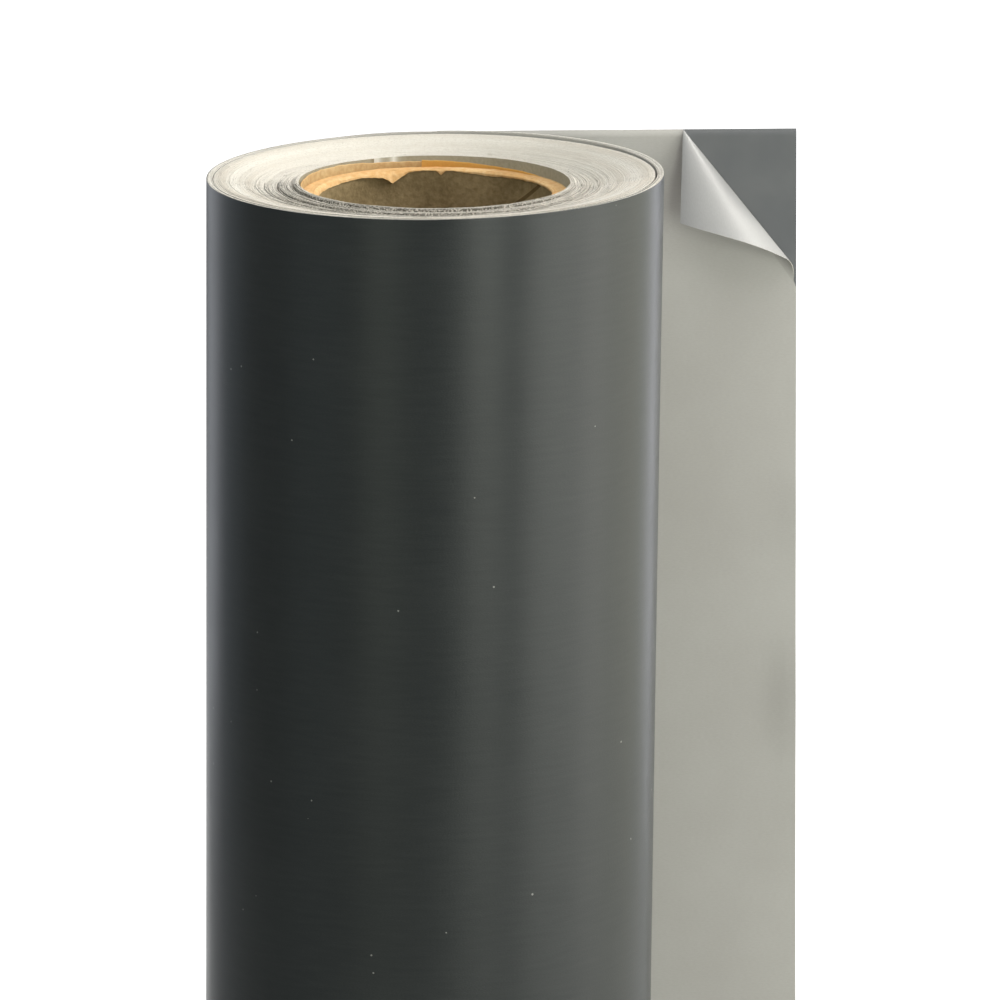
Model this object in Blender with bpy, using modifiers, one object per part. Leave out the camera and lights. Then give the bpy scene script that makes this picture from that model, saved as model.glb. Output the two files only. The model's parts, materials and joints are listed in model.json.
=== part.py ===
"""A roll of self-adhesive sign vinyl, standing on its end with its free end let off at the back.

Metres, +Z up. The origin is at the middle of the bounding box's base, so the roll's axis is a little to the
left of it. Seen from above, the web winds anticlockwise towards the core, with the vinyl face outwards.
"""

import math

import bmesh
import bpy
from mathutils import Vector

MM = 0.001

# Core: a standard 3 inch tube, spiral wound from three kinds of ply
CORE_BORE_R = 38.1 * MM
INNER_PLY = 0.6 * MM
CORE_R = 43.2 * MM
OUTER_PLY = 0.6 * MM
PLY_GAP = 0.1 * MM
CORE_LENGTH = 610 * MM
TORN_EDGE = 1.6 * MM
INNER_PLY_SETBACK = 0.8 * MM

# Start tape, on the core under the first lap
TAPE_GAP = 0.1 * MM
TAPE_THICKNESS = 0.2 * MM
TAPE_WIDTH = 25 * MM
TAPE_ANGLE = math.radians(200)

# Web: every lap is as wide as the roll, and the laps have slid along the core into a shallow dish
WEB_WIDTH = 610 * MM
CORE_SETBACK = 5.4 * MM
DISH = 2.3 * MM
DISH_OUTER_R = 69 * MM
DISH_INNER_R = 52 * MM
LAP_GROUPS = {
    "first_laps": (43.6 * MM, 45.4 * MM),
    "second_laps": (46.2 * MM, 49.9 * MM),
    "third_laps": (50.7 * MM, 53.2 * MM),
    "tight_pack": (53.4 * MM, 71.0 * MM),
}
GROUP_LIFT = {"first_laps": 0.5 * MM, "second_laps": 0.2 * MM, "third_laps": 0.0, "tight_pack": 0.0}

# Loose turns: the last laps, which have sprung away from the pack at the right and the back
LOOSE_GAP = 0.2 * MM
LOOSE_LAPS = 0.9 * MM
BULGE = 1.2 * MM
BULGE_ANGLE = math.radians(40)
FILM = 0.3 * MM
LINER = 0.3 * MM
LAMINATE_GAP = 0.1 * MM
LAP_PITCH = FILM + LINER + 2 * LAMINATE_GAP
TANGENT_ANGLE = math.radians(90)

# Free web, from the line where it leaves the roll. It climbs a little, and its end is cut square to its edges
LOOSE_LIFT = 0.3 * MM
WEB_LIFT = 0.6 * MM
LEAD_START = 0.3 * MM
LEAD_END = 25 * MM
JOINT_GAP = 1.0 * MM
WEB_REACH = 119.2 * MM
RISE = math.tan(math.radians(1))
WEB_BOTTOM = CORE_SETBACK + WEB_LIFT
WEB_TOP = WEB_BOTTOM + WEB_WIDTH

# Peeled corner of the liner: it leaves the adhesive along a slanting line and rolls back over itself
PEEL_ALONG_TOP = 45.8 * MM
PEEL_DOWN_END = 57.2 * MM
ROLL_R = 6.5 * MM
PEEL_GAP = 0.15 * MM
PEEL_ROWS = 12
PEEL_FIRST = 0.02
PEEL_LAST = 0.96

SEGMENTS = 72

COLOURS = {
    "kraft": ((0.52, 0.33, 0.17, 1), 0.85),
    "kraft_torn": ((0.62, 0.42, 0.24, 1), 0.9),
    "tape": ((0.75, 0.72, 0.62, 1), 0.5),
    "web_edge": ((0.70, 0.67, 0.60, 1), 0.75),
    "liner": ((0.72, 0.70, 0.66, 1), 0.6),
    "film": ((0.045, 0.05, 0.055, 1), 0.4),
}


def bulge(angle):
    """How far the loose turns stand off the pack at this angle."""
    return BULGE * max(0.0, math.cos(angle - BULGE_ANGLE)) ** 2


def loose_inner(angle):
    return LAP_GROUPS["tight_pack"][1] + LOOSE_GAP + bulge(angle)


def liner_inner(angle):
    """Inner radius of the last lap's liner. The lap starts at the tangent line and closes in by one pitch."""
    turns_in = (angle - TANGENT_ANGLE) / math.tau
    return loose_inner(angle) + LOOSE_LAPS + LAMINATE_GAP + LAP_PITCH * (1 - turns_in)


def film_inner(angle):
    return liner_inner(angle) + LINER + LAMINATE_GAP


def film_outer(angle):
    return film_inner(angle) + FILM


def on_web(x, down):
    """A point of the free web in X and Z: so far from the roll's axis, and so far down from the upper edge."""
    return (x, WEB_TOP + RISE * x - down)


def at_end(down):
    """A point of the cut end, so far down from its upper corner."""
    return (WEB_REACH + RISE * down, WEB_TOP + RISE * WEB_REACH - down)


# The roll's axis, which puts the origin under the middle of the whole object
AXIS_X = (film_outer(math.radians(180)) - at_end(WEB_WIDTH)[0]) / 2
AXIS_Y = (film_outer(math.radians(270)) - film_outer(TANGENT_ANGLE)) / 2


def dish(radius):
    """How far the end of a lap at this radius has slid down below the rim."""
    inward = (DISH_OUTER_R - radius) / (DISH_OUTER_R - DISH_INNER_R)
    return DISH * min(1.0, max(0.0, inward))


def material(name):
    colour, roughness = COLOURS[name]
    made = bpy.data.materials.get(name) or bpy.data.materials.new(name)
    made.use_nodes = True
    shader = made.node_tree.nodes["Principled BSDF"]
    shader.inputs["Base Color"].default_value = colour
    shader.inputs["Roughness"].default_value = roughness
    shader.inputs["Metallic"].default_value = 0.0
    return made


def add(name, data, material_name):
    obj = bpy.data.objects.new(name, data)
    obj.location = (AXIS_X, AXIS_Y, 0)
    obj.data.materials.append(material(material_name))
    collection.objects.link(obj)
    return obj


def turned(name, profile, material_name):
    """A closed profile in X and Z, turned about the roll's axis. It runs down its outer side."""
    mesh = bpy.data.meshes.new(name)
    count = len(profile)
    edges = [(i, (i + 1) % count) for i in range(count)]
    mesh.from_pydata([(x, 0, z) for x, z in profile], edges, [])
    obj = add(name, mesh, material_name)
    screw = obj.modifiers.new("turn", "SCREW")
    screw.steps = SEGMENTS
    screw.render_steps = SEGMENTS
    screw.use_merge_vertices = True
    screw.merge_threshold = 0.00001
    screw.use_smooth_shade = False
    return obj


def tube(name, inner, outer, bottom, top, material_name):
    profile = [(outer, top), (outer, bottom), (inner, bottom), (inner, top)]
    return turned(name, profile, material_name)


def laps(name):
    """A group of laps. Its two ends follow the dish, because every lap is as wide as the roll."""
    inner, outer = LAP_GROUPS[name]
    radii = sorted({inner, outer} | {r for r in (DISH_INNER_R, DISH_OUTER_R) if inner < r < outer})
    lift = GROUP_LIFT[name]
    ends = [(r, CORE_SETBACK - dish(r) + lift) for r in radii]
    top = [(r, z + WEB_WIDTH) for r, z in ends]
    return turned(name, [*reversed(top[-1:]), *reversed(ends), *top[:-1]], "web_edge")


def outline(name, loops, bottom, top, material_name):
    """A flat outline, with any holes, drawn up from bottom to top."""
    curve = bpy.data.curves.new(name, "CURVE")
    curve.dimensions = "2D"
    curve.fill_mode = "BOTH"
    curve.extrude = (top - bottom) / 2
    for points in loops:
        spline = curve.splines.new("POLY")
        spline.points.add(len(points) - 1)
        for point, (x, y) in zip(spline.points, points):
            point.co = (x, y, 0, 1)
        spline.use_cyclic_u = True
    obj = add(name, curve, material_name)
    obj.location.z = (top + bottom) / 2
    return obj


def around(radius_at, start, end):
    """Points of a line about the roll's axis, whose radius changes with the angle."""
    steps = round((end - start) / math.tau * SEGMENTS)
    angles = [start + (end - start) * i / steps for i in range(steps + 1)]
    return [(radius_at(a) * math.cos(a), radius_at(a) * math.sin(a)) for a in angles]


def plate(name, corners, back, thickness, material_name):
    """A flat plate that stands in the plane of the free web, from its corners in X and Z."""
    obj = outline(name, [corners], -thickness / 2, thickness / 2, material_name)
    obj.rotation_euler = (math.radians(90), 0, 0)
    obj.location = (AXIS_X, AXIS_Y + back - thickness / 2, 0)
    return obj


def tear(angle):
    """Depth of the ragged tear in the inner ply's top edge: shallow waves and two deep notches."""
    waves = 0.5 + 0.22 * math.sin(5 * angle + 0.7) + 0.18 * math.sin(11 * angle) + 0.1 * math.sin(23 * angle)
    notches = sum(math.exp(-(((angle - math.radians(at)) / 0.09) ** 2)) for at in (113, 68))
    return TORN_EDGE * (waves + 1.3 * notches)


def make_core():
    wall_inner = CORE_BORE_R + INNER_PLY + PLY_GAP
    wall_outer = CORE_R - OUTER_PLY - PLY_GAP
    tube("core_wall_plies", wall_inner, wall_outer, 0, CORE_LENGTH, "kraft")
    tube("core_outer_ply", CORE_R - OUTER_PLY, CORE_R, 0, CORE_LENGTH, "kraft")

    # The inner ply, spun from its cross-section, then torn along its top edge
    bm = bmesh.new()
    corners = [
        (CORE_BORE_R + INNER_PLY, CORE_LENGTH),
        (CORE_BORE_R + INNER_PLY, INNER_PLY_SETBACK),
        (CORE_BORE_R, INNER_PLY_SETBACK),
        (CORE_BORE_R, CORE_LENGTH),
    ]
    verts = [bm.verts.new((x, 0, z)) for x, z in corners]
    edges = [bm.edges.new((verts[i], verts[(i + 1) % 4])) for i in range(4)]
    bmesh.ops.spin(
        bm,
        geom=verts + edges,
        axis=(0, 0, 1),
        cent=(0, 0, 0),
        steps=SEGMENTS,
        angle=math.tau,
        use_merge=True,
    )
    bmesh.ops.remove_doubles(bm, verts=bm.verts, dist=0.00001)
    bmesh.ops.recalc_face_normals(bm, faces=bm.faces)
    for vert in bm.verts:
        if vert.co.z > CORE_LENGTH / 2:
            vert.co.z -= tear(math.atan2(vert.co.y, vert.co.x) % math.tau)
    mesh = bpy.data.meshes.new("core_inner_ply")
    bm.to_mesh(mesh)
    bm.free()
    add("core_inner_ply", mesh, "kraft_torn")


def make_start_tape():
    inner = CORE_R + TAPE_GAP
    half = TAPE_WIDTH / 2 / inner
    start = TAPE_ANGLE - half
    end = TAPE_ANGLE + half
    inside = around(lambda a: inner, start, end)
    outside = around(lambda a: inner + TAPE_THICKNESS, start, end)
    bottom = CORE_SETBACK
    outline("start_tape", [outside + inside[::-1]], bottom, bottom + CORE_LENGTH - 12 * MM, "tape")


def make_loose_turns():
    bottom = CORE_SETBACK + LOOSE_LIFT
    top = bottom + WEB_WIDTH
    full = math.tau * (SEGMENTS - 1) / SEGMENTS
    inside = around(loose_inner, 0, full)
    outside = around(lambda a: loose_inner(a) + LOOSE_LAPS, 0, full)
    outline("loose_laps", [outside, inside], bottom, top, "web_edge")

    start = TANGENT_ANGLE
    end = TANGENT_ANGLE + math.tau
    liner_inside = around(liner_inner, start, end)
    liner_outside = around(lambda a: liner_inner(a) + LINER, start, end)
    outline("last_lap_liner", [liner_outside + liner_inside[::-1]], bottom, top, "liner")
    film_inside = around(film_inner, start, end)
    film_outside = around(film_outer, start, end)
    outline("last_lap_film", [film_outside + film_inside[::-1]], bottom, top, "film")


def make_free_web():
    """The straight web: a short lead off the roll, then the free end, whose liner lacks the peeled corner."""
    film_back = film_outer(TANGENT_ANGLE)
    liner_back = film_back - FILM - LAMINATE_GAP
    liner_front = liner_back - LINER
    lead = [
        on_web(LEAD_START, WEB_WIDTH),
        on_web(LEAD_END, WEB_WIDTH),
        on_web(LEAD_END, 0),
        on_web(LEAD_START, 0),
    ]
    plate("lead_film", lead, film_back, FILM, "film")
    plate("lead_liner", lead, liner_back, LINER, "liner")

    start = LEAD_END + JOINT_GAP
    lower = [on_web(start, WEB_WIDTH), at_end(WEB_WIDTH)]
    plate("end_film", [*lower, at_end(0), on_web(start, 0)], film_back, FILM, "film")
    peel_top = on_web(WEB_REACH - PEEL_ALONG_TOP, 0)
    peel_bottom = at_end(PEEL_DOWN_END)
    plate("end_liner", [*lower, peel_bottom, peel_top, on_web(start, 0)], liner_back, LINER, "liner")
    make_peeled_corner(liner_front, peel_top, peel_bottom, at_end(0))


def make_peeled_corner(liner_front, peel_top, peel_bottom, tip):
    """The flap: a triangle of liner that leaves along the peel line, bends half round and lies back."""
    start = Vector((peel_top[0], 0, peel_top[1]))
    line = Vector((peel_bottom[0], 0, peel_bottom[1])) - start
    to_tip = Vector((tip[0], 0, tip[1])) - start
    along = line.normalized()
    forward = Vector((0, -1, 0))
    outward = along.cross(forward)
    depth = to_tip.dot(outward)
    tip_at = to_tip.dot(along)
    bend = math.pi * ROLL_R
    middle_r = ROLL_R - LINER / 2

    # The empty stands at the top end of the bend's centre line, which is the joint's axis
    axis = bpy.data.objects.new("peel_axis", None)
    axis.location = start + Vector((AXIS_X, AXIS_Y + liner_front - PEEL_GAP - ROLL_R, 0))
    collection.objects.link(axis)

    bm = bmesh.new()
    rows = []
    for i in range(PEEL_ROWS + 1):
        share = PEEL_FIRST + (PEEL_LAST - PEEL_FIRST) * i / PEEL_ROWS
        from_line = depth * share
        angle = min(from_line, bend) / ROLL_R
        past = max(0.0, from_line - bend)
        across = outward * (middle_r * math.sin(angle) - past) - forward * middle_r * math.cos(angle)
        ends = (tip_at * share, line.length - (line.length - tip_at) * share)
        rows.append([bm.verts.new(along * k + across) for k in ends])
    for near, far in zip(rows, rows[1:]):
        bm.faces.new((near[0], near[1], far[1], far[0]))
    mesh = bpy.data.meshes.new("peeled_liner")
    bm.to_mesh(mesh)
    bm.free()
    flap = add("peeled_liner", mesh, "liner")
    flap.location = (0, 0, 0)
    flap.parent = axis
    wall = flap.modifiers.new("thickness", "SOLIDIFY")
    wall.thickness = LINER
    wall.offset = 0.0


def smooth_round_pieces():
    for obj in collection.objects:
        if obj.type == "MESH":
            obj.data.shade_smooth()
            obj.data.set_sharp_from_angle(angle=math.radians(30))


for old in list(bpy.data.objects):
    bpy.data.objects.remove(old, do_unlink=True)
collection = bpy.data.collections.new("sign_vinyl_roll")
bpy.context.scene.collection.children.link(collection)

make_core()
make_start_tape()
for group in LAP_GROUPS:
    laps(group)
make_loose_turns()
make_free_web()
smooth_round_pieces()
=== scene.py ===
import json
import math

import bmesh
import bpy
import numpy as np
from mathutils import Matrix, Vector


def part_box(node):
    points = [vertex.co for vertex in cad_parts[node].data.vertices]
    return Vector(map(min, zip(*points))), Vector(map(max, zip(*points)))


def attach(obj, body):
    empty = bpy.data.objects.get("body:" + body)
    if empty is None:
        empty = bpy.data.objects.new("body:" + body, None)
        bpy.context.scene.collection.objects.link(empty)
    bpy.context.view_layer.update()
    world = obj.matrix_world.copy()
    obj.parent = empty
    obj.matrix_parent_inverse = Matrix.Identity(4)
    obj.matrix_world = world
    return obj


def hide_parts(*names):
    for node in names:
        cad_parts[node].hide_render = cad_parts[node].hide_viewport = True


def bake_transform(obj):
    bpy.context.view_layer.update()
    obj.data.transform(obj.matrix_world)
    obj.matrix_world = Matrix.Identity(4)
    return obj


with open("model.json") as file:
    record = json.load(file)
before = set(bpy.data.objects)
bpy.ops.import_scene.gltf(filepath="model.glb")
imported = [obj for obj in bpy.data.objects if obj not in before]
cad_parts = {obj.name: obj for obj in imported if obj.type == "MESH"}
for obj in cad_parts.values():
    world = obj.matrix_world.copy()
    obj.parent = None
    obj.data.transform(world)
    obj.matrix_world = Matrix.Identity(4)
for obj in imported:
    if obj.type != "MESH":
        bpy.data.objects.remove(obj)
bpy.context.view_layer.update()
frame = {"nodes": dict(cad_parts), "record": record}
mm = 0.001

# Where the frame puts things
coreLow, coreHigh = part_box("core_wall_plies")
filmLow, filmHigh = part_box("last_lap_film")
axisX = (coreLow.x + coreHigh.x) / 2
axisY = (coreLow.y + coreHigh.y) / 2
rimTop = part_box("tight_pack")[1].z
webWidth = filmHigh.z - filmLow.z
joints = {joint["name"]: joint for joint in frame["record"]["behaviour"]["joints"]}
bendAt = joints["free_end_bend"]["pos_m"][0] - axisX

# One laminate, vinyl face out: the loose last lap and the free web share its sizes
web = {
    "film": 0.10 * mm,
    "liner": 0.13 * mm,
    "pitch": 0.24 * mm,
    "radius": 73.3 * mm,
    "bulge": 1.2 * mm,
    "bulgeAngle": math.radians(62),
    "bulgeLow": 0.45,
    "bulgeDepth": 150 * mm,
    "flare": 0.35 * mm,
    "flareDepth": 70 * mm,
    "lip": 0.8 * mm,
    "lipDepth": 1.7 * mm,
    "lipEase": 30 * mm,
    "overEdge": 0.05 * mm,
    "settle": 40 * mm,
    "tilt": math.tan(math.radians(1.05)),
    "topOverRim": 0.3 * mm,
    "reach": 119.2 * mm,
    "rise": math.tan(math.radians(1)),
    "splitAt": 12.5 * mm,
    "lapSteps": 300,
    "leadSteps": 8,
    "endSteps": 44,
}

# How far the free web lies off its plane: slow waves towards its end, and soft dents at the cut end
waves = {
    "height": 0.6 * mm,
    "length": 74 * mm,
    "shift": 0.6,
    "from": 58 * mm,
    "full": 110 * mm,
    "dentDeep": 1.3 * mm,
    "dentAcross": (123 * mm, 7 * mm),
    # how far down, how tall, and how strong
    "dents": ((133 * mm, 8 * mm, 1.0), (196 * mm, 16 * mm, 1.3)),
}


class Wire:
    # A socket that takes part in expressions
    def __init__(self, tree, socket):
        self.tree = tree
        self.socket = socket

    def maths(self, operation, *values):
        return makeNode(self.tree, "ShaderNodeMath", {"operation": operation}, dict(enumerate(values)))

    def __add__(self, other):
        return self.maths("ADD", self, other)

    def __radd__(self, other):
        return self.maths("ADD", other, self)

    def __sub__(self, other):
        return self.maths("SUBTRACT", self, other)

    def __rsub__(self, other):
        return self.maths("SUBTRACT", other, self)

    def __mul__(self, other):
        return self.maths("MULTIPLY", self, other)

    def __rmul__(self, other):
        return self.maths("MULTIPLY", other, self)

    def __truediv__(self, other):
        return self.maths("DIVIDE", self, other)

    def __gt__(self, other):
        return self.maths("GREATER_THAN", self, other)

    def __lt__(self, other):
        return self.maths("LESS_THAN", self, other)

    def do(self, operation):
        return self.maths(operation, self)

    def angleTo(self, other):
        return self.maths("ARCTAN2", self, other)

    def between(self, low, high):
        return self.maths("MINIMUM", self.maths("MAXIMUM", self, low), high)

    def step(self, low, high):
        # 0 below low, 1 above high, smooth between
        values = {"Value": self, "From Min": low, "From Max": high}
        return makeNode(self.tree, "ShaderNodeMapRange", {"interpolation_type": "SMOOTHSTEP"}, values)


def makeNode(tree, kind, settings=None, values=None, output=0):
    # Any other node: its settings first, then the values or links of its sockets
    node = tree.nodes.new(kind)
    for name, value in (settings or {}).items():
        setattr(node, name, value)
    for name, value in (values or {}).items():
        if isinstance(value, Wire):
            tree.links.new(value.socket, node.inputs[name])
        else:
            node.inputs[name].default_value = value
    return Wire(tree, node.outputs[output])


def mixColour(tree, share, first, second):
    return makeNode(tree, "ShaderNodeMix", {"data_type": "RGBA"}, {0: share, 6: first, 7: second}, 2)


def newMaterial(name, fixed):
    # One Principled shader, whose even values are set on its own sockets
    material = bpy.data.materials.new(name)
    material.use_nodes = True
    shader = material.node_tree.nodes["Principled BSDF"]
    for socket, value in fixed.items():
        shader.inputs[socket].default_value = value
    return material, material.node_tree


def feed(tree, socket, wire):
    tree.links.new(wire.socket, tree.nodes["Principled BSDF"].inputs[socket])


def bump(tree, height, strength, distance):
    values = {"Height": height, "Strength": strength, "Distance": distance}
    feed(tree, "Normal", makeNode(tree, "ShaderNodeBump", None, values))


def noise(tree, vector, scale, detail=2.0):
    values = {"Vector": vector, "Scale": scale, "Detail": detail}
    return makeNode(tree, "ShaderNodeTexNoise", None, values)


def lineNoise(tree, place, scale, detail=1.0):
    values = {"W": place, "Scale": scale, "Detail": detail}
    return makeNode(tree, "ShaderNodeTexNoise", {"noise_dimensions": "1D"}, values)


def fromAxis(tree):
    # Object coordinates counted from the roll's axis, and their parts
    raw = makeNode(tree, "ShaderNodeTexCoord", None, None, "Object")
    place = makeNode(tree, "ShaderNodeMapping", None, {"Vector": raw, "Location": (-axisX, -axisY, 0)})
    parts = [makeNode(tree, "ShaderNodeSeparateXYZ", None, {"Vector": place}, i) for i in range(3)]
    return place, parts


def radiusOf(parts):
    return (parts[0] * parts[0] + parts[1] * parts[1]).do("SQRT")


def sheetPlace(tree, stretch):
    # Along and down the web, in metres, from the piece's own map
    raw = makeNode(tree, "ShaderNodeUVMap", {"uv_map": "web"})
    return makeNode(tree, "ShaderNodeMapping", None, {"Vector": raw, "Scale": stretch})


# Vinyl face: dark grey, satin, with a fine grain drawn out round the roll and a little dust
vinyl = {
    "dark": (0.0165, 0.0205, 0.022, 1),
    "light": (0.026, 0.03, 0.031, 1),
    "dust": (0.35, 0.35, 0.33, 1),
    "grain": 1300,
    "streaks": 70,
    "patches": 26,
    "dustCells": 130,
    "dustSize": 0.05,
    "cleanShare": 0.7,
}


def makeVinyl():
    material, tree = newMaterial("vinylFace", {"Specular IOR Level": 0.5})
    grain = noise(tree, sheetPlace(tree, (1, 2.2, 1)), vinyl["grain"], 3)
    streaks = noise(tree, sheetPlace(tree, (1, 10, 1)), vinyl["streaks"], 3)
    patches = noise(tree, sheetPlace(tree, (1, 1.4, 1)), vinyl["patches"], 2)
    shade = (streaks * 0.4 + grain * 0.5 + patches * 0.3).step(0.4, 0.85)
    cells = {"Vector": sheetPlace(tree, (1, 1, 1)), "Scale": vinyl["dustCells"]}
    near = makeNode(tree, "ShaderNodeTexVoronoi", None, cells, "Distance")
    chance = makeNode(tree, "ShaderNodeTexVoronoi", None, cells, "Color")
    rare = makeNode(tree, "ShaderNodeSeparateXYZ", None, {"Vector": chance}, 0)
    dust = (near < rare * vinyl["dustSize"]) * (rare > vinyl["cleanShare"])
    colour = mixColour(tree, shade, vinyl["dark"], vinyl["light"])
    feed(tree, "Base Color", mixColour(tree, dust * 0.7, colour, vinyl["dust"]))
    feed(tree, "Roughness", 0.24 + grain * 0.1 + patches * 0.06)
    bump(tree, grain * 0.8 + streaks * 0.25, 0.12, 0.0003)
    return material


# Adhesive side of the vinyl, smooth and cool grey
adhesive = {"dark": (0.15, 0.157, 0.168, 1), "light": (0.182, 0.188, 0.196, 1)}


def makeAdhesive():
    fixed = {"Specular IOR Level": 0.5, "Coat Weight": 0.1, "Coat Roughness": 0.3}
    material, tree = newMaterial("adhesiveFace", fixed)
    cloud = noise(tree, sheetPlace(tree, (1, 1, 1)), 40, 3)
    fine = noise(tree, sheetPlace(tree, (1, 2, 1)), 700, 2)
    feed(tree, "Base Color", mixColour(tree, cloud.step(0.3, 0.7), adhesive["dark"], adhesive["light"]))
    feed(tree, "Roughness", 0.42 + fine * 0.12)
    bump(tree, cloud + fine * 0.3, 0.06, 0.0005)
    return material


# Release liner: pale paper, its outer side warm and dull, its silicone side cooler and smoother.
# A dark and a light colour, and the roughness
paper = {
    "linerBack": ((0.56, 0.54, 0.515, 1), (0.615, 0.60, 0.575, 1), 0.58),
    "linerSilicone": ((0.34, 0.34, 0.345, 1), (0.375, 0.375, 0.38, 1), 0.34),
}


def makePaper(name):
    low, high, rough = paper[name]
    material, tree = newMaterial(name, {"Specular IOR Level": 0.4})
    cloud = noise(tree, sheetPlace(tree, (1, 1, 1)), 28, 4)
    fibre = noise(tree, sheetPlace(tree, (1, 3, 1)), 750, 4)
    feed(tree, "Base Color", mixColour(tree, (cloud * 0.6 + fibre * 0.5).step(0.3, 0.8), low, high))
    feed(tree, "Roughness", rough + fibre * 0.12)
    bump(tree, fibre * 0.7 + cloud * 0.5, 0.1, 0.0004)
    return material


# Cut edges of the laps: cream paper with the dark film between, which reads as a fine speckle
edges = {
    "cream": (0.72, 0.67, 0.59, 1),
    "pale": (0.90, 0.875, 0.81, 1),
    "speck": (0.10, 0.092, 0.075, 1),
    "rose": (0.74, 0.63, 0.53, 1),
    # painted shade for the first lap's inward wall above the core
    "shade": (0.23, 0.185, 0.10, 1),
    "innerFrom": 46 * mm,
    "innerTo": 58 * mm,
    "rings": 2600,
    "bands": 210,
    "grain": 1700,
    "patches": 420,
    "cloud": 30,
    # radii over which the first lap's painted shade fades out
    "firstLap": (43.8 * mm, 44.0 * mm),
}


def makeEdges():
    material, tree = newMaterial("lapEdges", {"Specular IOR Level": 0.25})
    place, parts = fromAxis(tree)
    radius = radiusOf(parts)
    rings = lineNoise(tree, radius, edges["rings"], 1)
    bands = lineNoise(tree, radius, edges["bands"], 2)
    grain = noise(tree, place, edges["grain"], 2)
    patches = noise(tree, place, edges["patches"], 3)
    cloud = noise(tree, place, edges["cloud"], 2)
    pale = (bands * 0.45 + cloud * 0.45 + patches * 0.3).step(0.4, 0.8)
    inner = 1 - radius.step(edges["innerFrom"], edges["innerTo"])
    dark = (rings * 0.3 + grain * 0.7 + patches * 0.25).step(0.62, 0.84)
    colour = mixColour(tree, pale, edges["cream"], edges["pale"])
    colour = mixColour(tree, (grain * 0.6 + cloud * 0.6).step(0.62, 0.9) * 0.5, colour, edges["rose"])
    feed(tree, "Base Color", mixColour(tree, dark * (0.4 + inner * 0.35), colour, edges["speck"]))
    feed(tree, "Roughness", 0.72 + grain * 0.2)
    bump(tree, rings * 0.8 + grain + patches * 0.4, 0.6, 0.0003)
    return material


# Vinyl side of the wound laps, which shows only where a lap stands over the next one: dull, with paper lint
def makeLapOutside():
    material, tree = newMaterial("lapOutside", {"Specular IOR Level": 0.2})
    place, parts = fromAxis(tree)
    grain = noise(tree, place, edges["grain"], 2)
    lint = grain.step(0.44, 0.7)
    feed(tree, "Base Color", mixColour(tree, lint * 0.8, edges["speck"], edges["cream"]))
    feed(tree, "Roughness", 0.6 + grain * 0.2)
    bump(tree, grain, 0.4, 0.0003)
    return material


# Inward side of the wound laps: paper, with painted shade in olive brown on the first lap's wall above the core,
# which stands in shadow
def makeLapInside():
    material, tree = newMaterial("lapInside", {"Specular IOR Level": 0.3})
    place, parts = fromAxis(tree)
    grain = noise(tree, place, 900, 3)
    first = 1 - radiusOf(parts).step(*edges["firstLap"])
    cream = mixColour(tree, grain, edges["cream"], edges["pale"])
    # painted shade: the first lap's inward wall is mixed towards the shade colour
    feed(tree, "Base Color", mixColour(tree, first * (0.75 + grain * 0.25), cream, edges["shade"]))
    feed(tree, "Roughness", 0.6 + grain * 0.2)
    bump(tree, grain, 0.2, 0.0003)
    return material


# Spiral-wound board: kraft brown, with the seams of its plies running round the bore
board = {
    "dark": (0.23, 0.17, 0.085, 1),
    "light": (0.45, 0.345, 0.195, 1),
    "torn": (0.73, 0.42, 0.17, 1),
    "tornPale": (0.84, 0.61, 0.33, 1),
    "raised": (0.68, 0.36, 0.085, 1),
    "seam": (0.10, 0.06, 0.02, 1),
    "seamPitch": 155 * mm,
    "seamWidth": 0.010,
    "fibre": 620,
    "blotch": 60,
    "rings": 1500,
}


def makeBoard():
    material, tree = newMaterial("coreBoard", {"Specular IOR Level": 0.2})
    place, parts = fromAxis(tree)
    angle = parts[1].angleTo(parts[0]) / math.tau
    turn = (parts[2] / board["seamPitch"] + angle).do("FRACT")
    seam = (turn < board["seamWidth"]) * 0.7
    fibre = noise(tree, place, board["fibre"], 5)
    blotch = noise(tree, place, board["blotch"], 3)
    rings = lineNoise(tree, radiusOf(parts), board["rings"], 1)
    colour = mixColour(tree, (fibre * 0.5 + blotch * 0.6).step(0.3, 0.8), board["dark"], board["light"])
    colour = mixColour(tree, seam, colour, board["seam"])
    bare = mixColour(tree, (fibre * 0.6 + blotch * 0.5).step(0.35, 0.8), board["torn"], board["tornPale"])
    torn = makeNode(tree, "ShaderNodeAttribute", {"attribute_name": "torn"}, None, "Fac")
    raised = makeNode(tree, "ShaderNodeAttribute", {"attribute_name": "raised"}, None, "Fac")
    colour = mixColour(tree, torn, colour, bare)
    feed(tree, "Base Color", mixColour(tree, raised * (0.8 + fibre * 0.2), colour, board["raised"]))
    feed(tree, "Roughness", 0.78 + fibre * 0.18)
    bump(tree, fibre + blotch * 0.4 + rings * 0.3, 0.5, 0.0005)
    return material


# Start tape: creped paper tape
tape = {"dark": (0.62, 0.57, 0.44, 1), "light": (0.72, 0.68, 0.56, 1), "crepe": 900}


def makeTapeFinish():
    material, tree = newMaterial("startTape", {"Specular IOR Level": 0.4})
    place, parts = fromAxis(tree)
    crepe = noise(tree, place, tape["crepe"], 3)
    feed(tree, "Base Color", mixColour(tree, crepe, tape["dark"], tape["light"]))
    feed(tree, "Roughness", 0.4 + crepe * 0.2)
    bump(tree, crepe, 0.3, 0.0003)
    return material


vinylFace = makeVinyl()
lapOutside = makeLapOutside()
adhesiveFace = makeAdhesive()
linerBack = makePaper("linerBack")
linerSilicone = makePaper("linerSilicone")
lapEdges = makeEdges()
lapInside = makeLapInside()
boardFinish = makeBoard()
tapeFinish = makeTapeFinish()
print("finishes made")


def keep(name, mesh, finishes, body=None):
    obj = bpy.data.objects.new(name, mesh)
    bpy.context.scene.collection.objects.link(obj)
    for finish in finishes:
        mesh.materials.append(finish)
    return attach(obj, body) if body else obj


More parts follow.
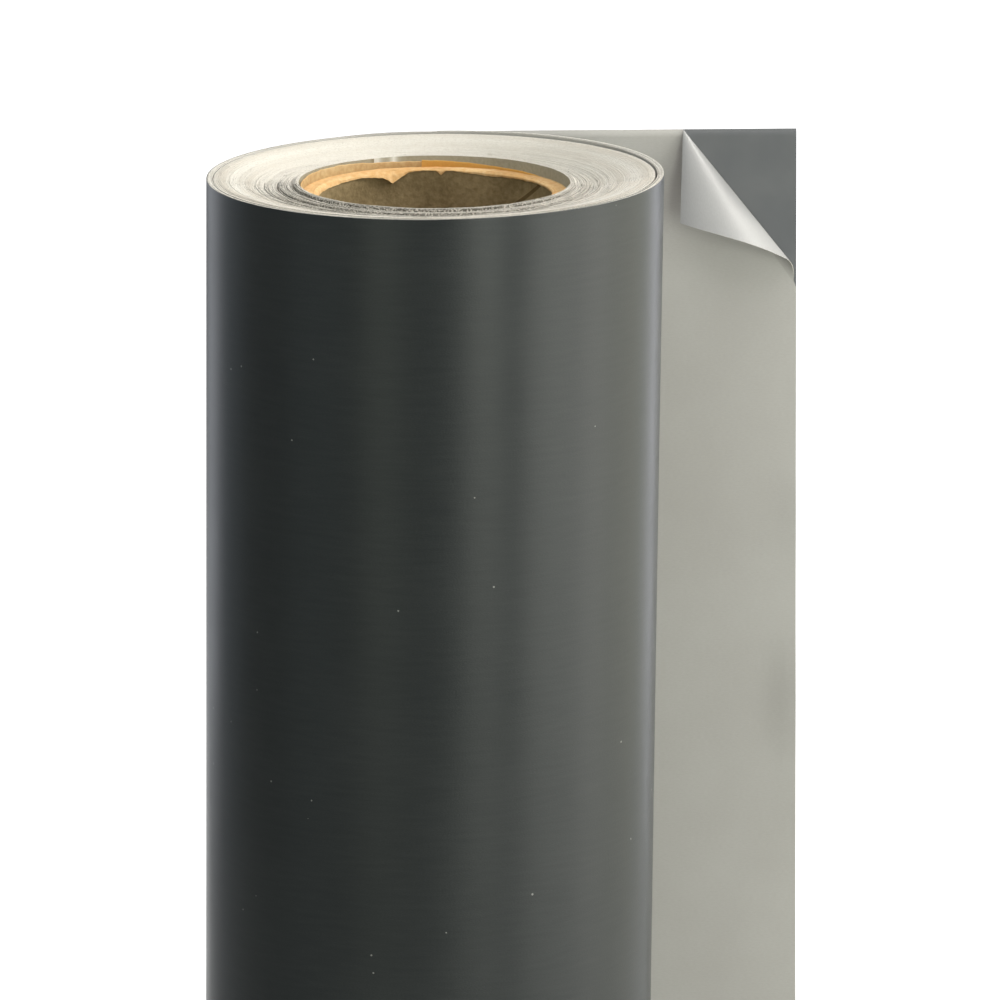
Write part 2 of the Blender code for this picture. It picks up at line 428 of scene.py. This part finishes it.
def gridMesh(name, front, back, along, down):
    # A closed sheet: front and back are rows of points, along and down are the web's own lengths there.
    # Its finishes are those of the front, the back and the cut edge
    cutEdge = 2
    rows, columns = len(front), len(front[0])
    bm = bmesh.new()
    webMap = bm.loops.layers.uv.new("web")
    sides = [[[bm.verts.new(point) for point in row] for row in side] for side in (front, back)]
    lengths = {}
    for side in sides:
        for i, row in enumerate(side):
            for j, vert in enumerate(row):
                lengths[vert] = (along[i][j], down[i][j])

    def addFace(corners, finish):
        face = bm.faces.new(corners)
        face.material_index = finish
        face.smooth = finish != cutEdge
        for loop in face.loops:
            loop[webMap].uv = lengths[loop.vert]
            if finish == cutEdge:
                loop.edge.smooth = False

    for i in range(rows - 1):
        for j in range(columns - 1):
            k = j + 1
            addFace([sides[0][i][j], sides[0][i][k], sides[0][i + 1][k], sides[0][i + 1][j]], 0)
            addFace([sides[1][i][j], sides[1][i + 1][j], sides[1][i + 1][k], sides[1][i][k]], 1)
    for i in (0, rows - 1):
        for j in range(columns - 1):
            rim = [sides[0][i][j + 1], sides[0][i][j], sides[1][i][j], sides[1][i][j + 1]]
            addFace(rim if i == 0 else rim[::-1], cutEdge)
    for j in (0, columns - 1):
        for i in range(rows - 1):
            rim = [sides[0][i][j], sides[0][i + 1][j], sides[1][i + 1][j], sides[1][i][j]]
            addFace(rim if j == 0 else rim[::-1], cutEdge)
    if bm.calc_volume(signed=True) < 0:
        bmesh.ops.reverse_faces(bm, faces=bm.faces)
    mesh = bpy.data.meshes.new(name)
    bm.to_mesh(mesh)
    bm.free()
    return mesh


# Rows down the web: close together near the upper edge, where the shape changes
downRows = [0, 0.25, 0.8, 1.6, 2.4, 3.5, 5.5, 8, 11, 14, 17, 20, 23, 26, 29, 32, 35, 38, 41, 44, 47]
downRows += [49, 51.3, 54, 58]
downRows += [63 + 11 * i for i in range(14)] + [220 + 30 * i for i in range(13)]
downRows = [row * mm for row in downRows] + [webWidth]


def easeBetween(value, low, high):
    share = min(1.0, max(0.0, (value - low) / (high - low)))
    return share * share * (3 - 2 * share)


def hump(value, middle, width):
    return math.exp(-(((value - middle) / width) ** 2))


def sprungOut(angle, depth):
    # How far the loose laps have sprung out, most of it at the upper end, with a small flare at the right
    height = web["bulgeLow"] + (1 - web["bulgeLow"]) * math.exp(-depth / web["bulgeDepth"])
    bulge = web["bulge"] * height * max(0.0, math.cos(angle - web["bulgeAngle"])) ** 2
    return bulge + web["flare"] * max(0.0, math.cos(angle)) ** 3 * math.exp(-depth / web["flareDepth"])


def lapRadius(angle, depth):
    # Outside of the last lap, from the tangent line at a quarter turn to one turn further in
    turnsIn = (angle - math.pi / 2) / math.tau
    return web["radius"] + web["pitch"] * (1 - turnsIn) + sprungOut(angle, depth)


def webTop(x):
    return rimTop + web["topOverRim"] + web["rise"] * x


def wave(x, depth):
    # How far back the free web lies from its plane, with the lip along its upper edge
    far = max(0.0, x / web["reach"])
    slow = waves["height"] * math.sin(depth / waves["length"] + waves["shift"]) * far**2
    slow *= easeBetween(depth, waves["from"], waves["full"])
    dents = sum(hump(depth, middle, width) * share for middle, width, share in waves["dents"])
    lip = web["lip"] * max(0.0, 1 - depth / web["lipDepth"]) * easeBetween(x, -web["lipEase"], web["lipEase"])
    return slow + lip - waves["dentDeep"] * dents * hump(x, *waves["dentAcross"])


def webPoint(along, depth, inward):
    # A point of the laminate. Along is the way from the tangent line: out to the free end, or into the roll
    # where it is below 0
    backPlane = lapRadius(math.pi / 2, 0)
    if along >= 0:
        y = backPlane - inward + wave(along, depth)
        return Vector((axisX + along, axisY + y, webTop(along) - depth))
    angle = math.pi / 2 - along / backPlane
    settle = easeBetween(-along, 0, web["settle"])
    radius = lapRadius(angle, depth * settle) - inward
    x = radius * math.cos(angle)
    top = rimTop + web["topOverRim"] + web["tilt"] * x
    top += (webTop(0) - top) * (1 - settle)
    return Vector((axisX + x, axisY + radius * math.sin(angle) + wave(0, depth) * (1 - settle), top - depth))


def webGrid(stations, outer, inner):
    # The vinyl's upper edge is very slightly rounded over
    over = [0 if depth else web["overEdge"] for depth in downRows]
    front = [[webPoint(s, depth, outer + more) for s in stations] for depth, more in zip(downRows, over)]
    back = [[webPoint(s, depth, inner) for s in stations] for depth in downRows]
    along = [list(stations)] * len(downRows)
    down = [[depth] * len(stations) for depth in downRows]
    return front, back, along, down


lapLength = math.tau * lapRadius(math.pi / 2, 0)
lapStations = [-lapLength * (1 - i / web["lapSteps"]) for i in range(web["lapSteps"] + 1)]
leadStations = [web["splitAt"] * i / web["leadSteps"] for i in range(web["leadSteps"] + 1)]

# The web's two layers: how far in their sides lie, their finishes on the two sides and the cut edge
layers = {
    "vinyl": {
        "node": "film",
        "outer": 0,
        "inner": web["film"],
        "sides": [vinylFace, adhesiveFace, vinylFace],
        "slot": "vinyl_film",
    },
    "paper": {
        "node": "liner",
        "outer": web["film"],
        "inner": web["film"] + web["liner"],
        "sides": [linerSilicone, linerBack, lapEdges],
        "slot": "release_liner",
    },
}


def makeLayer(stretch, kind, grid, node, body=None):
    # One layer of a stretch of the web, which stands for a layer of a CAD stretch
    layer = layers[kind]
    name = stretch + "_" + kind
    piece = keep(name, gridMesh(name, *grid), layer["sides"], body)
    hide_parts(node + "_" + layer["node"])
    return piece


def blendAlong(piece, start, end):
    # Bakes the piece's transform into its mesh; the stretch from start to end, counted from the roll's axis, is not
    # used
    axisX + start
    axisX + end
    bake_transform(piece)


def makeLastLap():
    # The outermost lap
    for kind, layer in layers.items():
        grid = webGrid(lapStations, layer["outer"], layer["inner"])
        piece = makeLayer("last_lap", kind, grid, "last_lap", "loose_turns")


def makeLead():
    # The web just off the roll, from the tangent line out to the split
    for kind, layer in layers.items():
        grid = webGrid(leadStations, layer["outer"], layer["inner"])
        piece = makeLayer("lead", kind, grid, "lead")
        blendAlong(piece, 1 * mm, web["splitAt"] - 1 * mm)


def cutEnd(depth):
    return web["reach"] + web["rise"] * depth


# The corner of the liner, peeled and bent over as a cone whose point is on the upper edge
flap = {
    "top": 37.6 * mm,
    "down": 51.3 * mm,
    "rays": 64,
    "steps": 40,
    "bend": math.radians(3.4),
    "bendTurn": math.radians(113),
    "curl": math.radians(35.3),
    "shorter": 0.149,
    "tip": 0.004,
    "blend": 9 * mm,
}


def peelLine(depth):
    # Where the liner leaves the adhesive, at this depth
    return web["reach"] - flap["top"] + depth * flap["top"] / flap["down"]


def makeFreeEnd():
    # The rest of the web, up to the cut end for the vinyl and up to the peeled corner for the paper
    shares = [i / web["endSteps"] for i in range(web["endSteps"] + 1)]
    limits = {"vinyl": cutEnd, "paper": lambda depth: min(cutEnd(depth), peelLine(depth))}
    width = cutEnd(webWidth) - web["splitAt"]
    area = (width - web["rise"] * webWidth / 2) * webWidth
    for kind, layer in layers.items():
        along = [[web["splitAt"] + (limits[kind](depth) - web["splitAt"]) * share for share in shares]
                 for depth in downRows]
        front = [[webPoint(x, depth, layer["outer"]) for x in row] for row, depth in zip(along, downRows)]
        back = [[webPoint(x, depth, layer["inner"]) for x in row] for row, depth in zip(along, downRows)]
        down = [[depth] * len(shares) for depth in downRows]
        piece = makeLayer("free_end", kind, (front, back, along, down), "end")
        blendAlong(piece, bendAt - 8 * mm, bendAt + 10 * mm)


def turnOnSphere(place, heading, side, width, length):
    # Goes on along a small circle of the unit sphere, and gives the new place, heading and side
    centre = place * math.cos(width) + side * math.sin(width)
    turned = length / math.sin(width)
    spoke = (place - centre * math.cos(width)) / math.sin(width)
    end = centre * math.cos(width) + (spoke * math.cos(turned) + heading * math.sin(turned)) * math.sin(width)
    newHeading = heading * math.cos(turned) - spoke * math.sin(turned)
    return end, newHeading, (centre - end * math.cos(width)) / math.sin(width)


def makePeeledCorner():
    opening = math.atan2(flap["down"], flap["top"])
    forward = Vector((0, -1, 0))
    peelAlong = Vector((math.cos(opening), 0, -math.sin(opening)))
    outward = forward.cross(peelAlong)
    linerFront = axisY + lapRadius(math.pi / 2, 0) - layers["paper"]["inner"]
    apex = Vector((axisX + peelLine(0), linerFront, webTop(peelLine(0))))
    bendShare = flap["bendTurn"] * math.sin(flap["bend"])
    tight = (peelAlong, outward, forward, flap["bend"])

    def ray(angle):
        # Direction from the cone's point, and the side that faces out of the bend, for a flat angle
        place, heading, side = turnOnSphere(*tight, min(angle, bendShare))
        if angle > bendShare:
            place, heading, side = turnOnSphere(place, heading, side, flap["curl"], angle - bendShare)
        return place, heading.cross(place).normalized()

    inside, outside, along, down = [], [], [], []
    for i in range(flap["rays"] + 1):
        angle = opening * i / flap["rays"]
        place, away = ray(angle)
        toCut = flap["top"] / math.cos(opening - angle)
        reach = toCut * (1 - flap["shorter"] * (angle / opening) ** 2)
        steps = [flap["tip"] + (1 - flap["tip"]) * j / flap["steps"] for j in range(flap["steps"] + 1)]
        inside.append([apex + place * reach * step for step in steps])
        outside.append([apex + place * reach * step + away * web["liner"] for step in steps])
        along.append([toCut * step * math.cos(opening - angle) for step in steps])
        down.append([toCut * step * math.sin(opening - angle) for step in steps])
    mesh = gridMesh("peeled_corner", outside, inside, along, down)
    piece = keep("peeled_corner", mesh, layers["paper"]["sides"])
    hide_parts("peeled_liner")
    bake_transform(piece)


# The wound web, as one spiral from the core out, with two gaps where the first laps wound on loosely
wound = {
    "firstRadius": 43.65 * mm,
    "lastRadius": 71.2 * mm,
    "pitch": 0.22 * mm,
    "perTurn": 96,
    "gaps": ((45.35 * mm, 0.8 * mm), (49.15 * mm, 0.8 * mm)),
    "gapAway": math.radians(25),
    "lifts": ((45.5 * mm, 0.75 * mm), (50.2 * mm, 0.35 * mm), (54.0 * mm, 0.2 * mm)),
    "dish": 3.3 * mm,
    "dishFrom": 69 * mm,
    "dishTo": 52 * mm,
    "tiltInside": math.tan(math.radians(0.5)),
    "roughInside": 0.95 * mm,
    "roughOutside": 0.22 * mm,
    "gapTurns": 1.5,
    "tiltOver": (51 * mm, 55.5 * mm),
    "roughOver": (52 * mm, 64 * mm),
    "unevenPerTurn": 1.7,
    "finePerTurn": 11.0,
    "thinner": 0.03 * mm,
}


def makeSpiralTree(turns):
    tree = bpy.data.node_groups.new("spiralWeb", "GeometryNodeTree")
    tree.interface.new_socket("Geometry", in_out="OUTPUT", socket_type="NodeSocketGeometry")
    sizes = {"First Radius": "firstRadius", "Pitch": "pitch", "Rough Inside": "roughInside"}
    sizes["Rough Outside"] = "roughOutside"
    for label in sizes:
        tree.interface.new_socket(label, in_out="INPUT", socket_type="NodeSocketFloat")
    tree.interface.new_socket("Width", in_out="INPUT", socket_type="NodeSocketFloat")
    group = tree.nodes.new("NodeGroupInput")
    given = {label: Wire(tree, group.outputs[label]) for label in [*sizes, "Width"]}
    count = int(turns * wound["perTurn"])
    turn = makeNode(tree, "GeometryNodeInputIndex") / wound["perTurn"]
    angle = turn * math.tau
    even = given["First Radius"] + given["Pitch"] * turn
    # a gap opens at once on its own side, and over many laps on the other
    openSide = 0.5 - (angle - wound["gapAway"]).do("COSINE") * 0.5
    radius = even
    for gapAt, gap in wound["gaps"]:
        atOnce = even.step(gapAt, gapAt + wound["pitch"] * wound["gapTurns"])
        slowly = even.step(wound["dishTo"], wound["dishFrom"])
        radius = radius + (atOnce * openSide + slowly * (1 - openSide)) * gap
    x = angle.do("COSINE") * radius
    y = angle.do("SINE") * radius
    dish = 1 - (radius - wound["dishTo"]) / (wound["dishFrom"] - wound["dishTo"])
    dish = dish.between(0.0, 1.0) * wound["dish"]
    inside = 1 - radius.step(*wound["tiltOver"])
    near = 1 - radius.step(*wound["roughOver"])
    rough = given["Rough Outside"] + (given["Rough Inside"] - given["Rough Outside"]) * near
    tilt = web["tilt"] - inside * (web["tilt"] - wound["tiltInside"])
    uneven = lineNoise(tree, turn, wound["unevenPerTurn"], 2) - 0.5
    fine = lineNoise(tree, turn, wound["finePerTurn"], 2) - 0.5
    z = rimTop - dish + x * tilt + rough * (uneven + fine * 0.5)
    for liftTo, lift in wound["lifts"]:
        z = z + (1 - radius.step(liftTo - wound["pitch"], liftTo)) * lift
    middle = z - given["Width"] / 2
    place = makeNode(tree, "ShaderNodeCombineXYZ", None, {"X": x + axisX, "Y": y + axisY, "Z": middle})
    line = makeNode(tree, "GeometryNodeMeshLine", None, {"Count": count})
    line = makeNode(tree, "GeometryNodeSetPosition", None, {"Geometry": line, "Position": place})
    curve = makeNode(tree, "GeometryNodeMeshToCurve", None, {"Mesh": line})
    curve = makeNode(tree, "GeometryNodeSetCurveNormal", {"mode": "Z_UP"}, {"Curve": curve})
    thick = web["film"] + web["liner"] - wound["thinner"]
    section = {"Width": thick, "Height": given["Width"]}
    section = makeNode(tree, "GeometryNodeCurvePrimitiveQuadrilateral", None, section)
    body = {"Curve": curve, "Profile Curve": section, "Fill Caps": True}
    body = makeNode(tree, "GeometryNodeCurveToMesh", None, body)
    body = makeNode(tree, "GeometryNodeRealizeInstances", None, {"Geometry": body})
    body = makeNode(tree, "GeometryNodeSetMaterial", None, {"Geometry": body, "Material": lapEdges})
    tree.links.new(body.socket, tree.nodes.new("NodeGroupOutput").inputs[0])
    values = {label: wound[key] for label, key in sizes.items()}
    values["Width"] = webWidth
    return tree, values


def plainMesh(name, tree, values):
    # The tree's result as a plain mesh
    holder = bpy.data.objects.new(name, bpy.data.meshes.new(name))
    bpy.context.scene.collection.objects.link(holder)
    modifier = holder.modifiers.new("made", "NODES")
    modifier.node_group = tree
    for item in tree.interface.items_tree:
        if item.in_out == "INPUT" and item.name in values:
            modifier[item.identifier] = values[item.name]
    graph = bpy.context.evaluated_depsgraph_get()
    mesh = bpy.data.meshes.new_from_object(holder.evaluated_get(graph))
    bpy.data.objects.remove(holder, do_unlink=True)
    bm = bmesh.new()
    bm.from_mesh(mesh)
    bmesh.ops.remove_doubles(bm, verts=bm.verts, dist=0.000001)
    bmesh.ops.recalc_face_normals(bm, faces=bm.faces)
    if bm.calc_volume(signed=True) < 0:
        bmesh.ops.reverse_faces(bm, faces=bm.faces)
    bm.to_mesh(mesh)
    bm.free()
    mesh.materials.clear()
    return mesh


def splitSides(mesh):
    # Vinyl on the faces that look outwards, paper on those that look at the axis, cut edge on the rest
    count = len(mesh.polygons)
    middles = np.empty(count * 3)
    normals = np.empty(count * 3)
    mesh.polygons.foreach_get("center", middles)
    mesh.polygons.foreach_get("normal", normals)
    spokes = middles.reshape(-1, 3)[:, :2] - (axisX, axisY)
    outwards = (spokes * normals.reshape(-1, 3)[:, :2]).sum(1) / np.linalg.norm(spokes, axis=1)
    sides = np.where(outwards > 0.5, 1, np.where(outwards < -0.5, 2, 0))
    mesh.polygons.foreach_set("material_index", sides.astype(np.int32))


def makeWoundPack():
    gaps = sum(gap for gapAt, gap in wound["gaps"])
    turns = (wound["lastRadius"] - wound["firstRadius"] - gaps) / wound["pitch"]
    tree, values = makeSpiralTree(turns)
    mesh = plainMesh("wound_pack", tree, values)
    splitSides(mesh)
    piece = keep("wound_pack", mesh, [lapEdges, lapOutside, lapInside], "roll")
    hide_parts("first_laps", "second_laps", "third_laps", "tight_pack")
    print("wound pack:", round(turns), "turns,", len(mesh.polygons), "faces")


# The loose turns under the last lap, which stand off the pack at the right and the back
loose = {
    "turns": 7,
    "perTurn": 110,
    "pitch": 0.225 * mm,
    "spread": 0.2,
    "lift": 0.15 * mm,
    "standing": 0.7 * mm,
    "standAt": math.radians(58),
    "uneven": 0.09 * mm,
    "between": 0.02 * mm,
    "underLap": 0.03 * mm,
}
looseRows = [0, 0.4, 2, 25, 60, 110, 180, 300, 450]
looseRows = [row * mm for row in looseRows] + [webWidth - 2 * mm, webWidth]


def makeLooseTurns():
    stations = loose["turns"] * loose["perTurn"]
    innermost = web["radius"] - layers["paper"]["inner"] - loose["underLap"] - loose["turns"] * loose["pitch"]
    sides = {"inner": [], "outer": []}
    for depth in looseRows:
        for side, off in (("inner", 0), ("outer", loose["pitch"] - loose["between"])):
            line = []
            for i in range(stations + 1):
                turn = i / loose["perTurn"]
                angle = math.pi / 2 + turn * math.tau
                spread = loose["spread"] + (1 - loose["spread"]) * turn / loose["turns"]
                radius = innermost + loose["pitch"] * turn + off + sprungOut(angle, depth) * spread
                x = radius * math.cos(angle)
                standing = loose["standing"] * max(0.0, math.cos(angle - loose["standAt"])) ** 2
                uneven = loose["uneven"] * math.sin(turn * 4.3 + 2 * math.sin(turn * 9.1))
                top = rimTop + loose["lift"] + standing + web["tilt"] * x + uneven
                line.append(Vector((axisX + x, axisY + radius * math.sin(angle), top - depth)))
            sides[side].append(line)
    along = [[i / loose["perTurn"] * math.tau * innermost for i in range(stations + 1)]] * len(looseRows)
    down = [[depth] * (stations + 1) for depth in looseRows]
    mesh = gridMesh("loose_turns_bundle", sides["outer"], sides["inner"], along, down)
    finishes = [vinylFace, linerBack, lapEdges]
    piece = keep("loose_turns_bundle", mesh, finishes, "loose_turns")
    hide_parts("loose_laps")


# The core: a board tube with its plies showing at the end, a strip of the outer ply left standing, and a torn
# lining
core = {
    "bore": 38.1 * mm,
    "lining": 0.7 * mm,
    "outer": 43.2 * mm,
    "outerPly": 42.55 * mm,
    "steps": 720,
    "roughEnd": 0.22 * mm,
    # how high the outer ply stands, by angle, and where its bare face shows
    "standing": ((-180, 2.7), (-150, 1.6), (-120, 0), (38, 0), (47, 0.5), (62, 1.0), (85, 1.9), (96, 2.2),
                 (96.5, 1.7), (112, 2.1), (128, 2.7), (150, 3.0), (180, 2.7)),
    "raised": (38, 96.2),
    # how low the lining is torn, by angle, and how far the torn strip leans into the bore
    "torn": ((-180, 2.2), (-100, 0.5), (0, 0.6), (20, 0.9), (60, 1.2), (85, 0.5), (87.5, 1.9), (90, 0.5), (100, 0.4),
             (104, 1.0), (108, 2.3), (112.5, 3.6), (115, 2.6), (118, 1.7), (126, 1.1), (140, 1.6), (160, 1.9),
             (180, 2.2)),
    "lean": ((-180, 0.5), (0, 0.3), (103, 0.2), (110, 1.5), (114, 1.9), (122, 1.0), (135, 0.5), (180, 0.5)),
}


def alongStops(stops, value):
    # Straight between the stops, in mm
    for (fromAt, fromSize), (toAt, toSize) in zip(stops, stops[1:]):
        if fromAt <= value <= toAt:
            return (fromSize + (toSize - fromSize) * (value - fromAt) / (toAt - fromAt)) * mm
    return 0.0


def roundMesh(name, profileAt, steps):
    # A tube whose cross-section changes with the angle. Each point has a radius, a height, and how torn and how
    # raised it is
    bm = bmesh.new()
    marks = {"torn": bm.verts.layers.float.new("torn"), "raised": bm.verts.layers.float.new("raised")}
    rings = []
    for i in range(steps):
        angle = math.tau * i / steps
        ring = []
        for radius, z, torn, raised in profileAt(angle):
            vert = bm.verts.new((axisX + radius * math.cos(angle), axisY + radius * math.sin(angle), z))
            vert[marks["torn"]] = torn
            vert[marks["raised"]] = raised
            ring.append(vert)
        rings.append(ring)
    count = len(rings[0])
    for i in range(steps):
        near, far = rings[i], rings[(i + 1) % steps]
        for j in range(count):
            k = (j + 1) % count
            bm.faces.new((near[j], far[j], far[k], near[k])).smooth = True
    if bm.calc_volume(signed=True) < 0:
        bmesh.ops.reverse_faces(bm, faces=bm.faces)
    mesh = bpy.data.meshes.new(name)
    bm.to_mesh(mesh)
    bm.free()
    mesh.set_sharp_from_angle(angle=math.radians(35))
    return mesh


def ripple(angle, seed):
    # Fine unevenness that closes on itself
    terms = ((7, 0.30), (13, 0.26), (29, 0.2), (53, 0.14), (97, 0.1))
    return sum(size * math.sin(count * angle + seed * count) for count, size in terms)


def signedDegrees(angle):
    return (math.degrees(angle) + 180) % 360 - 180


def makeCore():
    inner = core["bore"] + core["lining"] + 0.04 * mm

    def wall(angle):
        top = coreHigh.z + wound["tiltInside"] * core["outer"] * math.cos(angle)
        degrees = signedDegrees(angle)
        standing = alongStops(core["standing"], degrees) * (1 + 0.12 * ripple(angle, 3.1))
        raised = 1.0 if core["raised"][0] < degrees < core["raised"][1] else 0.0
        end = []
        for i in range(7):
            radius = core["outerPly"] - 0.15 * mm + (inner - core["outerPly"] + 0.15 * mm) * i / 6
            end.append((radius, top + core["roughEnd"] * ripple(angle, i * 1.7), 1.0, 0.0))
        outerTop = top + standing + core["roughEnd"] * 0.4 * ripple(angle, 5.2)
        ply = [
            (core["outer"], outerTop - 0.2 * mm, 0.4, raised),
            (core["outer"] - 0.15 * mm, outerTop, 0.8, raised),
            (core["outerPly"] + 0.1 * mm, outerTop - 0.05 * mm, 0.8, raised),
            (core["outerPly"], outerTop - 0.2 * mm, 0.5, raised),
            (core["outerPly"], top + 0.02 * mm, 0.3, raised),
        ]
        below = [(inner, coreHigh.z * i / 20, 0.0, 0.0) for i in range(19, 0, -1)]
        foot = [(inner, coreLow.z, 0.0, 0.0), (core["outer"], coreLow.z, 0.0, 0.0)]
        return [*ply, *end, *below, *foot]

    mesh = roundMesh("core_board", wall, core["steps"])
    piece = keep("core_board", mesh, [boardFinish], "roll")
    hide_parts("core_wall_plies", "core_outer_ply")

    def lining(angle):
        degrees = signedDegrees(angle)
        top = coreHigh.z + wound["tiltInside"] * core["bore"] * math.cos(angle) + 0.12 * mm * ripple(angle, 0.4)
        torn = alongStops(core["torn"], degrees) + 0.35 * mm * ripple(angle, 0.9)
        torn = max(0.3 * mm, torn)
        lean = alongStops(core["lean"], degrees) + 0.12 * mm * ripple(angle, 2.3)
        r0 = core["bore"]
        r1 = r0 + core["lining"]
        face = [(r1, top, 1.0, 0.0), (r1 - 0.3 * mm - lean * 0.25, top - torn * 0.12, 1.0, 0.0)]
        face += [(r0 - lean * 0.7, top - torn * 0.5, 1.0, 0.0), (r0 - lean, top - torn, 1.0, 0.0)]
        under = [(r0 - lean * 0.85, top - torn - 0.12 * mm, 0.0, 0.0)]
        under += [(r0 - lean * 0.25, top - torn - 0.2 * mm, 0.0, 0.0), (r0, top - torn - 1.4 * mm, 0.0, 0.0)]
        low = coreLow.z + 0.8 * mm
        below = [(r0, low + (top - 8 * mm - low) * i / 20, 0.0, 0.0) for i in range(20, 0, -1)]
        return [(r1, low, 0.0, 0.0), *face, *under, *below, (r0, low, 0.0, 0.0)]

    mesh = roundMesh("core_lining", lining, core["steps"])
    piece = keep("core_lining", mesh, [boardFinish], "roll")
    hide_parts("core_inner_ply")


makeCore()
makeWoundPack()
makeLooseTurns()
makeLastLap()
makeLead()
makeFreeEnd()
makePeeledCorner()
startTape = frame["nodes"]["start_tape"]
startTape.data.materials.clear()
startTape.data.materials.append(tapeFinish)
print("pieces made")

# A plain pale floor that brightens behind the roll, and soft light from tall panels round it and boxes above
studio = {
    "floorSize": 30.0,
    "glow": 1.35,
    "glowFrom": 0.5,
    "glowTo": 1.6,
    "glowSide": (0.45, 0.7),
    "far": (2.7, 4.5),
    "farGlow": 0.3,
    "world": ((0.9, 0.95, 1, 1), 0.02),
    "boxAim": (0, 0, 0.6),
    "panelFoot": 0.02,
    "panelHeight": 1.5,
    # degrees from the camera's side, distance, width, brightness, colour
    "panels": (
        (-145, 1.5, 0.6, 0.88, (0.88, 0.92, 1)),
        (-120, 1.5, 0.6, 0.22, (0.7, 0.85, 1)),
        (-60, 1.6, 0.8, 0.2, (0.8, 1, 1)),
        (-25, 2.2, 0.7, 0.95, (0.92, 1, 0.82)),
        (25, 2.2, 0.7, 3.2, (0.96, 1, 0.89)),
        (60, 1.6, 0.8, 2.65, (0.98, 1, 0.91)),
        (85, 1.4, 0.45, 2.7, (1, 0.99, 0.91)),
        (103, 1.4, 0.45, 1.66, (1, 1, 0.86)),
        (119, 1.4, 0.3, 1.47, (1, 0.95, 0.8)),
        (133, 1.4, 0.3, 1.02, (0.96, 1, 0.83)),
        (148, 1.4, 0.3, 2.7, (0.92, 0.92, 1)),
    ),
    # place, side, brightness, colour
    "boxes": (
        ((-0.05, -0.2, 1.35), 0.7, 2.7, (1, 0.97, 0.95)),
        ((0.85, 0.2, 1.3), 0.35, 21.0, (1, 0.97, 0.92)),
        ((-0.6, 0.1, 1.3), 0.5, 1.15, (0.8, 1, 0.9)),
    ),
}


def addLamp(name, place, aim, width, height, brightness, colour):
    lamp = bpy.data.lights.new(name, "AREA")
    lamp.shape = "RECTANGLE"
    lamp.size = width
    lamp.size_y = height
    lamp.energy = brightness * math.pi * width * height
    lamp.color = colour
    obj = bpy.data.objects.new(name, lamp)
    obj.location = place
    obj.rotation_euler = (Vector(aim) - Vector(place)).to_track_quat("-Z", "Y").to_euler()
    obj.visible_camera = False
    bpy.context.scene.collection.objects.link(obj)


def makeStudio():
    bpy.ops.mesh.primitive_plane_add(size=studio["floorSize"])
    floor = bpy.context.object
    floor.name = "floor"
    material, tree = newMaterial("floorWhite", {"Base Color": (0.8, 0.8, 0.8, 1), "Roughness": 0.8})
    place = makeNode(tree, "ShaderNodeTexCoord", None, None, "Object")
    back = makeNode(tree, "ShaderNodeSeparateXYZ", None, {"Vector": place}, 1)
    side = makeNode(tree, "ShaderNodeSeparateXYZ", None, {"Vector": place}, 0).do("ABSOLUTE")
    glow = back.step(studio["glowFrom"], studio["glowTo"]) * (1 - side.step(*studio["glowSide"]))
    far = (back * back + side * side).do("SQRT").step(*studio["far"])
    glow = glow + (1 - glow) * far * studio["farGlow"]
    feed(tree, "Emission Color", mixColour(tree, glow, (0, 0, 0, 1), (1, 1, 1, 1)))
    tree.nodes["Principled BSDF"].inputs["Emission Strength"].default_value = studio["glow"]
    floor.data.materials.append(material)
    middle = studio["panelFoot"] + studio["panelHeight"] / 2
    for degrees, distance, width, brightness, colour in studio["panels"]:
        angle = math.radians(degrees)
        place = (distance * math.sin(angle), -distance * math.cos(angle), middle)
        name = "panel" + str(degrees)
        addLamp(name, place, (0, 0, middle), width, studio["panelHeight"], brightness, colour)
    for place, side, brightness, colour in studio["boxes"]:
        addLamp("box", place, studio["boxAim"], side, side, brightness, colour)
    world = bpy.data.worlds.new("studio")
    world.use_nodes = True
    for socket, value in zip(("Color", "Strength"), studio["world"]):
        world.node_tree.nodes["Background"].inputs[socket].default_value = value
    bpy.context.scene.world = world
    bpy.context.scene.view_settings.view_transform = "Standard"


shot = {"distance": 2.4, "pitch": 13.60222, "roll": 0.55673, "lens": 265.51, "aimX": 0.02208, "aimZ": 0.50805}


def makeCamera():
    pitch = math.radians(shot["pitch"])
    roll = math.radians(shot["roll"])
    forward = Vector((0, math.cos(pitch), -math.sin(pitch)))
    level = Vector((1, 0, 0))
    up = level.cross(forward)
    right = level * math.cos(roll) + up * math.sin(roll)
    up = up * math.cos(roll) - level * math.sin(roll)
    lens = bpy.data.cameras.new("camera")
    lens.lens = shot["lens"]
    lens.clip_end = 100
    camera = bpy.data.objects.new("camera", lens)
    aim = Vector((axisX + shot["aimX"], 0, shot["aimZ"]))
    turned = Matrix((right, up, -forward)).transposed().to_4x4()
    camera.matrix_world = Matrix.Translation(aim - forward * shot["distance"]) @ turned
    bpy.context.scene.collection.objects.link(camera)
    bpy.context.scene.camera = camera


makeStudio()
makeCamera()
print("studio made")
